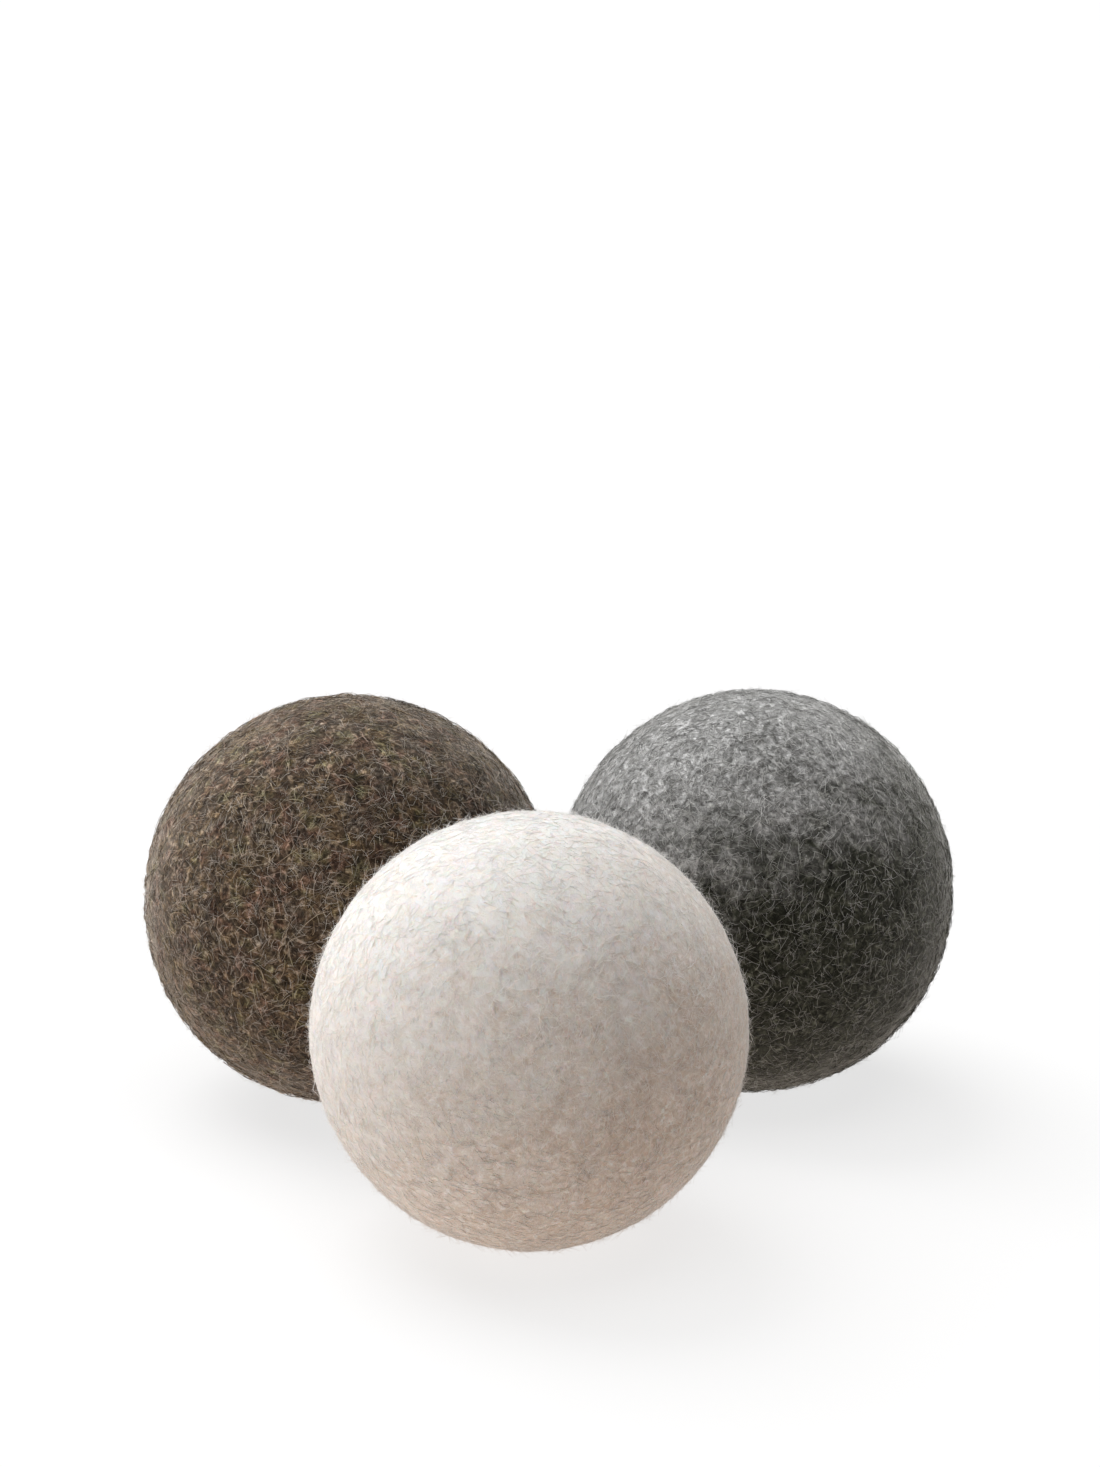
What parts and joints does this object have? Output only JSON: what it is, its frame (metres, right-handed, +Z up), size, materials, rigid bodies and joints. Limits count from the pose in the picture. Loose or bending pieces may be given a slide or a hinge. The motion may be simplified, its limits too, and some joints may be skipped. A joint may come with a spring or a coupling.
{
  "type": "wool dryer ball set",
  "caption": "Set of loose felted wool balls in cream, brown and grey that tumble in a clothes dryer to soften and lift the laundry.",
  "frame": {"origin": "on the surface that the balls stand on, under the middle of the set's bounding box", "axes": "+Z up, +X towards the grey ball's side, -Y towards the cream ball in front"},
  "size_m": [0.1418, 0.1404, 0.071],
  "materials": {
    "cream_wool": "matte",
    "brown_wool": "matte",
    "grey_wool": "matte",
    "batting_wool": "matte",
    "core_yarn": "matte"
  },
  "bodies": {
    "cream_ball": {"cream_felt_skin": "cream_wool", "cream_outer_batt": "batting_wool", "cream_middle_batt": "batting_wool", "cream_inner_batt": "batting_wool", "cream_yarn_core": "core_yarn"},
    "brown_ball": {"brown_felt_skin": "brown_wool", "brown_outer_batt": "batting_wool", "brown_middle_batt": "batting_wool", "brown_inner_batt": "batting_wool", "brown_yarn_core": "core_yarn"},
    "grey_ball": {"grey_felt_skin": "grey_wool", "grey_outer_batt": "batting_wool", "grey_middle_batt": "batting_wool", "grey_inner_batt": "batting_wool", "grey_yarn_core": "core_yarn"}
  },
  "joints": [
    {"name": "brown_lift", "type": "slide", "parent": "cream_ball", "child": "brown_ball", "axis": [0, 0, 1], "range_m": [0, 0.1]},
    {"name": "grey_lift", "type": "slide", "parent": "cream_ball", "child": "grey_ball", "axis": [0, 0, 1], "range_m": [0, 0.1]}
  ]
}
